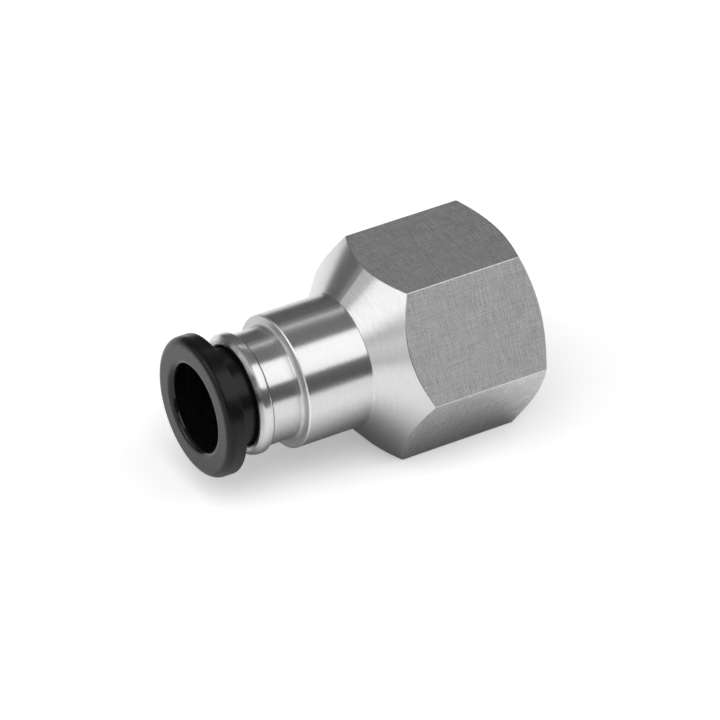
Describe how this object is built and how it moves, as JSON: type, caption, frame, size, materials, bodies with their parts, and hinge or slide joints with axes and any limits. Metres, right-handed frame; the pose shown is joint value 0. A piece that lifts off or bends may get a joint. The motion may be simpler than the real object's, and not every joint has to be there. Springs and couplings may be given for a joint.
{
  "type": "push-in tube fitting",
  "caption": "Straight push-in tube fitting with a release collet at one end and a hexagonal female-threaded port at the other.",
  "frame": {"origin": "on the fitting's axis at the middle of the hexagon's length", "axes": "+X along the axis out of the threaded port, -X out of the tube socket; -Z towards the hexagon flat that it lies on"},
  "size_m": [0.0381, 0.0254, 0.022],
  "materials": {
    "stainless_steel": "satin, turned on the barrel and cone and ground on the flats",
    "spring_steel": "bright stamped sheet",
    "black_acetal": "moulded, satin",
    "white_acetal": "moulded, matt",
    "black_rubber": "moulded, lightly greased"
  },
  "bodies": {
    "housing": {"fitting_body": "stainless_steel", "guide_ring": "stainless_steel", "backup_ring": "white_acetal", "tube_seal": "black_rubber", "stop_bushing": "stainless_steel"},
    "grip": {"grip_ring": "spring_steel"},
    "collet": {"release_collet": "black_acetal"}
  },
  "joints": [
    {"name": "grip_turn", "type": "hinge", "parent": "housing", "child": "grip", "pos_m": [0, 0, 0], "axis": [1, 0, 0], "continuous": true},
    {"name": "collet_press", "type": "slide", "parent": "grip", "child": "collet", "axis": [1, 0, 0], "range_m": [0, 0.002], "stiffness_N_per_m": 150, "springref_m": -0.002}
  ]
}
